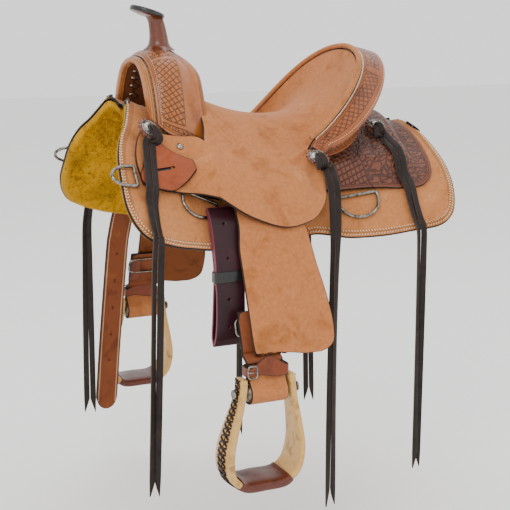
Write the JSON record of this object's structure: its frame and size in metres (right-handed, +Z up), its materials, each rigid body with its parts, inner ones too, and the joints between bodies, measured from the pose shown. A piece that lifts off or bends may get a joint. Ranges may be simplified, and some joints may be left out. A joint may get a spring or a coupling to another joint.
{
  "type": "western saddle",
  "caption": "Western stock saddle with roughout seat and fenders, tooled fork and cantle, horn, fleece-lined skirts, swinging stirrups, rigging and tie strings.",
  "frame": {"origin": "on the centre plane, under the seat, where the horse's back holds the saddle up", "axes": "+Z up, -X towards the horn and the horse's head, -Y the near (left) side"},
  "size_m": [0.7469, 0.775, 1.0137],
  "materials": {
    "tree_fork": "bare",
    "gullet_liner": "russet, tooled, light oil",
    "swell_cover": "russet, tooled, light oil",
    "horn_cap": "russet, tooled, light oil",
    "horn_cap_binding": "black",
    "horn_neck_cover": "russet, tooled, light oil",
    "horn_core": "polished",
    "cantle_back_cover": "russet, tooled, light oil",
    "tree_cantle": "bare",
    "cantle_binding": "russet, tooled, light oil",
    "seat_leather": "natural roughout, unfinished",
    "ground_seat": "bare",
    "latigo_keeper_near": "russet, smooth",
    "latigo_near": "oiled latigo",
    "latigo_band_near": "black",
    "off_billet": "russet, smooth",
    "skirt_near": "natural roughout, unfinished",
    "skirt_off": "natural roughout, unfinished",
    "fleece_near": "golden wool pile",
    "fleece_off": "golden wool pile",
    "tree_bar_near": "bare",
    "tree_bar_off": "bare",
    "rear_jockey_near": "dark russet, tooled",
    "rear_jockey_off": "dark russet, tooled",
    "rigging_plate_near": "russet, smooth",
    "rigging_plate_off": "russet, smooth",
    "front_ring_near": "nickel plated",
    "front_ring_off": "nickel plated",
    "rear_dee_near": "nickel plated",
    "rear_dee_off": "nickel plated",
    "breast_dee_near": "nickel plated",
    "breast_dee_off": "nickel plated",
    "fender_near": "natural roughout, unfinished",
    "fender_off": "natural roughout, unfinished",
    "stirrup_leather_near": "natural roughout, unfinished",
    "stirrup_leather_off": "natural roughout, unfinished",
    "leather_buckle_near": "nickel plated",
    "leather_buckle_off": "nickel plated",
    "hobble_strap_near": "russet, smooth",
    "hobble_strap_off": "russet, smooth",
    "hobble_buckle_near": "nickel plated",
    "hobble_buckle_off": "nickel plated",
    "stirrup_frame_near": "varnished rawhide",
    "stirrup_frame_off": "varnished rawhide",
    "stirrup_tread_near": "glossy brown",
    "stirrup_tread_off": "glossy brown",
    "stirrup_bolt_near": "polished",
    "stirrup_bolt_off": "polished",
    "concho_front_near": "nickel plated",
    "concho_front_off": "nickel plated",
    "concho_seat_near": "nickel plated",
    "concho_seat_off": "nickel plated",
    "concho_back_near": "nickel plated",
    "concho_back_off": "nickel plated",
    "strings_front_near": "dark brown, limp",
    "strings_front_off": "dark brown, limp",
    "strings_seat_near": "dark brown, limp",
    "strings_seat_off": "dark brown, limp",
    "strings_back_near": "dark brown, limp",
    "strings_back_off": "dark brown, limp"
  },
  "bodies": {
    "saddle": {"tree_fork": "tree_fork", "gullet_liner": "gullet_liner", "swell_cover": "swell_cover", "horn_cap": "horn_cap", "horn_cap_binding": "horn_cap_binding", "horn_neck_cover": "horn_neck_cover", "horn_core": "horn_core", "cantle_back_cover": "cantle_back_cover", "tree_cantle": "tree_cantle", "cantle_binding": "cantle_binding", "seat_leather": "seat_leather", "ground_seat": "ground_seat", "latigo_keeper_near": "latigo_keeper_near", "skirt_near": "skirt_near", "skirt_off": "skirt_off", "fleece_near": "fleece_near", "fleece_off": "fleece_off", "tree_bar_near": "tree_bar_near", "tree_bar_off": "tree_bar_off", "rear_jockey_near": "rear_jockey_near", "rear_jockey_off": "rear_jockey_off", "rigging_plate_near": "rigging_plate_near", "rigging_plate_off": "rigging_plate_off", "front_ring_near": "front_ring_near", "front_ring_off": "front_ring_off", "concho_front_near": "concho_front_near", "concho_front_off": "concho_front_off", "concho_seat_near": "concho_seat_near", "concho_seat_off": "concho_seat_off", "concho_back_near": "concho_back_near", "concho_back_off": "concho_back_off", "strings_front_near": "strings_front_near", "strings_front_off": "strings_front_off", "strings_seat_near": "strings_seat_near", "strings_seat_off": "strings_seat_off", "strings_back_near": "strings_back_near", "strings_back_off": "strings_back_off"},
    "fender_near": {"fender_near": "fender_near", "stirrup_leather_near": "stirrup_leather_near", "leather_buckle_near": "leather_buckle_near", "hobble_strap_near": "hobble_strap_near", "hobble_buckle_near": "hobble_buckle_near"},
    "stirrup_near": {"stirrup_frame_near": "stirrup_frame_near", "stirrup_tread_near": "stirrup_tread_near", "stirrup_bolt_near": "stirrup_bolt_near"},
    "rear_dee_near": {"rear_dee_near": "rear_dee_near"},
    "breast_dee_near": {"breast_dee_near": "breast_dee_near"},
    "fender_off": {"fender_off": "fender_off", "stirrup_leather_off": "stirrup_leather_off", "leather_buckle_off": "leather_buckle_off", "hobble_strap_off": "hobble_strap_off", "hobble_buckle_off": "hobble_buckle_off"},
    "stirrup_off": {"stirrup_frame_off": "stirrup_frame_off", "stirrup_tread_off": "stirrup_tread_off", "stirrup_bolt_off": "stirrup_bolt_off"},
    "rear_dee_off": {"rear_dee_off": "rear_dee_off"},
    "breast_dee_off": {"breast_dee_off": "breast_dee_off"},
    "latigo": {"latigo_near": "latigo_near", "latigo_band_near": "latigo_band_near"},
    "off_billet": {"off_billet": "off_billet"}
  },
  "joints": [
    {"name": "fender_swing_near", "type": "hinge", "parent": "saddle", "child": "fender_near", "pos_m": [-0.133, -0.15005, 0.06869], "axis": [0, -0.7771, 0.6293], "range_deg": [-20, 5]},
    {"name": "stirrup_swing_near", "type": "hinge", "parent": "fender_near", "child": "stirrup_near", "pos_m": [-0.14, -0.346, -0.338], "axis": [1, 0, 0], "range_deg": [-25, 25]},
    {"name": "rear_dee_swing_near", "type": "hinge", "parent": "saddle", "child": "rear_dee_near", "pos_m": [0.138, -0.1874, -0.01144], "axis": [0.9945, -0.0244, 0.1022], "range_deg": [-40, 0]},
    {"name": "breast_dee_swing_near", "type": "hinge", "parent": "saddle", "child": "breast_dee_near", "pos_m": [-0.33, -0.18872, 0.05304], "axis": [0, -0.6024, -0.7982], "range_deg": [-60, 0]},
    {"name": "fender_swing_off", "type": "hinge", "parent": "saddle", "child": "fender_off", "pos_m": [-0.133, 0.15005, 0.06869], "axis": [0, 0.7771, 0.6293], "range_deg": [-4, 16]},
    {"name": "stirrup_swing_off", "type": "hinge", "parent": "fender_off", "child": "stirrup_off", "pos_m": [-0.14, 0.346, -0.338], "axis": [1, 0, 0], "range_deg": [-6, 25]},
    {"name": "rear_dee_swing_off", "type": "hinge", "parent": "saddle", "child": "rear_dee_off", "pos_m": [0.138, 0.1874, -0.01144], "axis": [0.9945, 0.0244, 0.1022], "range_deg": [0, 40]},
    {"name": "breast_dee_swing_off", "type": "hinge", "parent": "saddle", "child": "breast_dee_off", "pos_m": [-0.33, 0.18872, 0.05304], "axis": [0, 0.6024, -0.7982], "range_deg": [0, 60]},
    {"name": "latigo_swing", "type": "hinge", "parent": "saddle", "child": "latigo", "pos_m": [-0.178, -0.203, -0.02], "axis": [0, 1, 0], "range_deg": [-3, 8]},
    {"name": "billet_swing", "type": "hinge", "parent": "saddle", "child": "off_billet", "pos_m": [-0.2, 0.226, -0.03], "axis": [0, 1, 0], "range_deg": [-12, 3]}
  ]
}
